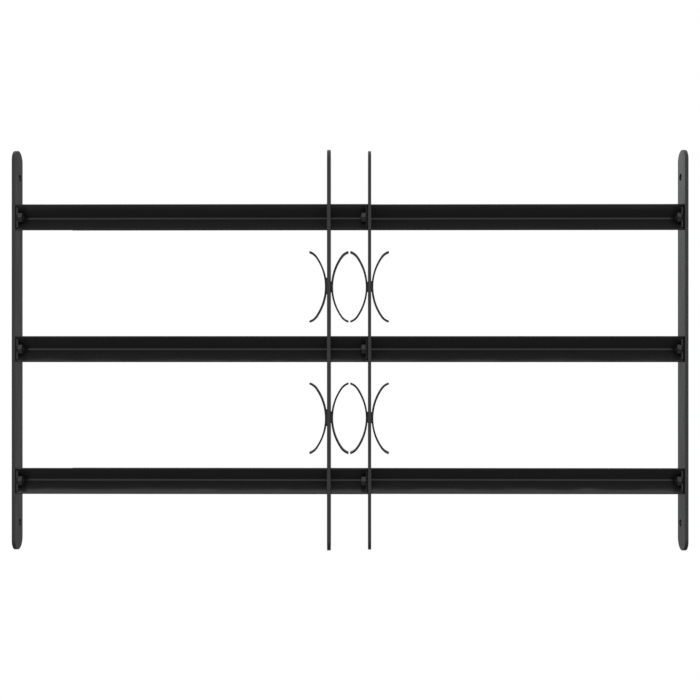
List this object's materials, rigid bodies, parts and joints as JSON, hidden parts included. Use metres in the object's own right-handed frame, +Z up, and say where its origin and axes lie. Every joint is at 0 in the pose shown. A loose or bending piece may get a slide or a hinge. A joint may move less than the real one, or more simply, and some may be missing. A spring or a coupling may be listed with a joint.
{
  "type": "width-adjustable window security grille",
  "caption": "Black window security grille of V-section crossbars in two sliding halves, with round-ended wall flats, slotted centre uprights and bent strip bows.",
  "frame": {"origin": "centre of the grille's overall box at the width it is stored at, 763 mm", "axes": "+X along the width towards the sliding half, +Y from the street side to the room side, +Z up"},
  "size_m": [0.763, 0.028, 0.455],
  "materials": {
    "coated_steel": "black semi-gloss powder coat with a fine orange peel",
    "coated_fastener": "black coated steel thread and nut, satin",
    "coated_weld": "powder-coated weld metal, uneven"
  },
  "bodies": {
    "fixed_half": {"left_wall_flat": "coated_steel", "guide_upright": "coated_steel", "end_upright": "coated_steel", "guide_bow_welds": "coated_weld", "end_bow_welds": "coated_weld", "guide_welds": "coated_weld", "front_bar_top": "coated_steel", "front_bar_middle": "coated_steel", "front_bar_bottom": "coated_steel", "left_tab_top": "coated_steel", "left_tab_middle": "coated_steel", "left_tab_bottom": "coated_steel", "left_stud_top": "coated_fastener", "left_stud_middle": "coated_fastener", "left_stud_bottom": "coated_fastener", "left_nut_top": "coated_fastener", "left_nut_middle": "coated_fastener", "left_nut_bottom": "coated_fastener", "centre_tab_top": "coated_steel", "centre_tab_middle": "coated_steel", "centre_tab_bottom": "coated_steel", "centre_stud_top": "coated_fastener", "centre_stud_middle": "coated_fastener", "centre_stud_bottom": "coated_fastener", "centre_nut_top": "coated_fastener", "centre_nut_middle": "coated_fastener", "centre_nut_bottom": "coated_fastener", "bow_guide_left_upper": "coated_steel", "bow_guide_left_lower": "coated_steel", "bow_guide_right_upper": "coated_steel", "bow_guide_right_lower": "coated_steel", "bow_end_left_upper": "coated_steel", "bow_end_left_lower": "coated_steel", "bow_end_right_upper": "coated_steel", "bow_end_right_lower": "coated_steel"},
    "sliding_half": {"right_wall_flat": "coated_steel", "rear_bar_top": "coated_steel", "rear_bar_middle": "coated_steel", "rear_bar_bottom": "coated_steel", "right_tab_top": "coated_steel", "right_tab_middle": "coated_steel", "right_tab_bottom": "coated_steel", "right_stud_top": "coated_fastener", "right_stud_middle": "coated_fastener", "right_stud_bottom": "coated_fastener", "right_nut_top": "coated_fastener", "right_nut_middle": "coated_fastener", "right_nut_bottom": "coated_fastener"}
  },
  "joints": [
    {"name": "width_slide", "type": "slide", "parent": "fixed_half", "child": "sliding_half", "axis": [1, 0, 0], "range_m": [-0.063, 0.287]}
  ]
}
